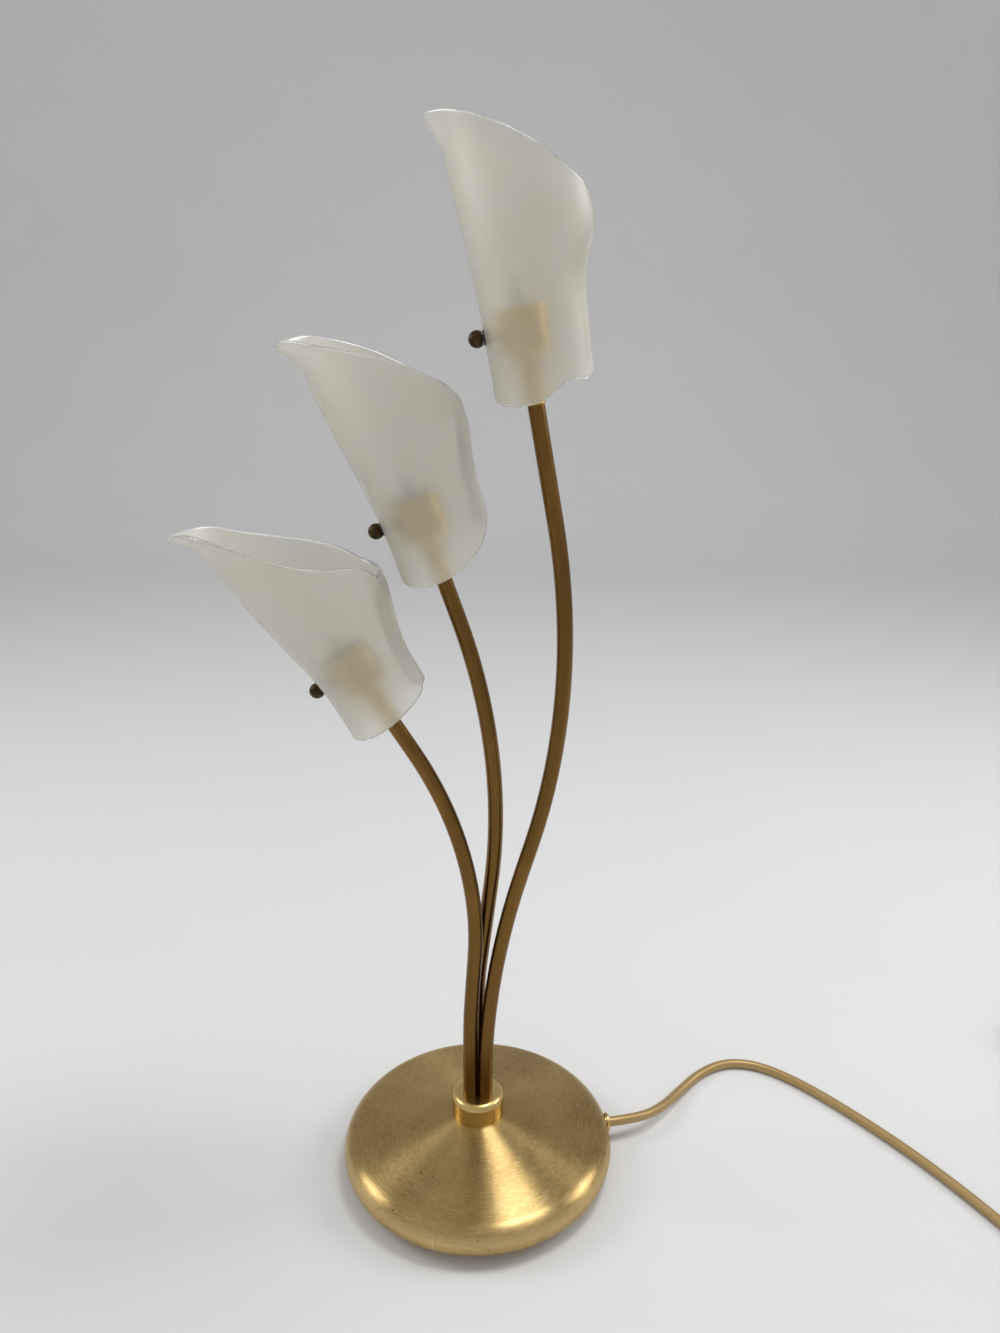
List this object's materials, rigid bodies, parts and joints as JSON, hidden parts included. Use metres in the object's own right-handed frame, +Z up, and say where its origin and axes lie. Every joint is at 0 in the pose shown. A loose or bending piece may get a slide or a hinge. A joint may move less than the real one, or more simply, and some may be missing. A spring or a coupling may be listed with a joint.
{
  "type": "table lamp",
  "caption": "Table lamp with a round spun-brass base, bent brass stems and rolled glass tulip shades, with its mains lead, switch and plug.",
  "frame": {"origin": "centre of the felt on the underside of the base", "axes": "+Z up; the stems lean towards -X; the seams of the shades and the lead are on the +X side; the side looked at faces -Y"},
  "size_m": [0.7155, 0.2537, 0.6795],
  "materials": {
    "aged_brass": "lathe-brushed, lacquered",
    "polished_brass": "polished",
    "bronze_tube": "satin",
    "dark_brass": "polished, darkened",
    "opal_glass": "satin, fire-polished rim",
    "bulb_glass": "clear",
    "ceramic": "glazed ceramic",
    "black_rubber": "matte",
    "felt": "felt",
    "steel": "zinc plated",
    "iron": "as cast",
    "white_plastic": "moulded",
    "core_plastic": "smooth",
    "lead_plastic": "smooth",
    "gold_sheath": "satin, gold coloured",
    "gold_plastic": "satin, gold coloured",
    "rocker_plastic": "gloss",
    "pin_metal": "nickel plated"
  },
  "bodies": {
    "lamp": {"base_shell": "aged_brass", "base_felt": "felt", "base_plate": "steel", "ballast": "iron", "collar": "polished_brass", "lamp_pipe": "steel", "pipe_washers": "steel", "pipe_nuts": "steel", "earth_tag": "polished_brass", "terminal_block": "white_plastic", "terminal_screws": "polished_brass", "cord_clamp": "steel", "clamp_screws": "steel", "cord_bush": "polished_brass", "cord_end": "gold_sheath", "cord_cores": "core_plastic", "lamp_leads": "lead_plastic", "cord_lead": "gold_sheath", "cord_link": "gold_sheath", "cord_coil": "gold_sheath", "cord_tail": "gold_sheath", "switch_base": "gold_plastic", "switch_cover": "gold_plastic", "switch_screws": "steel", "plug_body": "gold_plastic", "plug_pins": "pin_metal", "stem_low": "bronze_tube", "ferrule_low": "polished_brass", "neck_low": "polished_brass", "cup_low": "polished_brass", "lampholder_low": "ceramic", "bulb_low": "bulb_glass", "boss_low": "polished_brass", "stem_middle": "bronze_tube", "ferrule_middle": "polished_brass", "neck_middle": "polished_brass", "cup_middle": "polished_brass", "lampholder_middle": "ceramic", "bulb_middle": "bulb_glass", "boss_middle": "polished_brass", "stem_top": "bronze_tube", "ferrule_top": "polished_brass", "neck_top": "polished_brass", "cup_top": "polished_brass", "lampholder_top": "ceramic", "bulb_top": "bulb_glass", "boss_top": "polished_brass"},
    "shade_low": {"shade_low": "opal_glass", "grommet_low": "black_rubber"},
    "knob_low": {"ball_screw_low": "dark_brass"},
    "shade_middle": {"shade_middle": "opal_glass", "grommet_middle": "black_rubber"},
    "knob_middle": {"ball_screw_middle": "dark_brass"},
    "shade_top": {"shade_top": "opal_glass", "grommet_top": "black_rubber"},
    "knob_top": {"ball_screw_top": "dark_brass"},
    "rocker": {"switch_rocker": "rocker_plastic"}
  },
  "joints": [
    {"name": "shade_low_tilt", "type": "hinge", "parent": "lamp", "child": "shade_low", "pos_m": [-0.09478, -0.00303, 0.36318], "axis": [-0.848, 0, -0.5299], "range_deg": [-15, 15]},
    {"name": "knob_low_turn", "type": "hinge", "parent": "lamp", "child": "knob_low", "pos_m": [-0.09478, -0.00303, 0.36318], "axis": [-0.848, 0, -0.5299], "continuous": true},
    {"name": "shade_middle_tilt", "type": "hinge", "parent": "lamp", "child": "shade_middle", "pos_m": [-0.05575, 0.00606, 0.46009], "axis": [-0.9432, 0, -0.3322], "range_deg": [-15, 15]},
    {"name": "knob_middle_turn", "type": "hinge", "parent": "lamp", "child": "knob_middle", "pos_m": [-0.05575, 0.00606, 0.46009], "axis": [-0.9432, 0, -0.3322], "continuous": true},
    {"name": "shade_top_tilt", "type": "hinge", "parent": "lamp", "child": "shade_top", "pos_m": [0.00352, -0.00303, 0.56857], "axis": [-0.9833, 0, -0.1822], "range_deg": [-15, 15]},
    {"name": "knob_top_turn", "type": "hinge", "parent": "lamp", "child": "knob_top", "pos_m": [0.00352, -0.00303, 0.56857], "axis": [-0.9833, 0, -0.1822], "continuous": true},
    {"name": "rocker_press", "type": "hinge", "parent": "lamp", "child": "rocker", "pos_m": [0.4467, -0.08419, 0.013], "axis": [-0.1392, 0.9903, 0], "range_deg": [0, 16]}
  ]
}
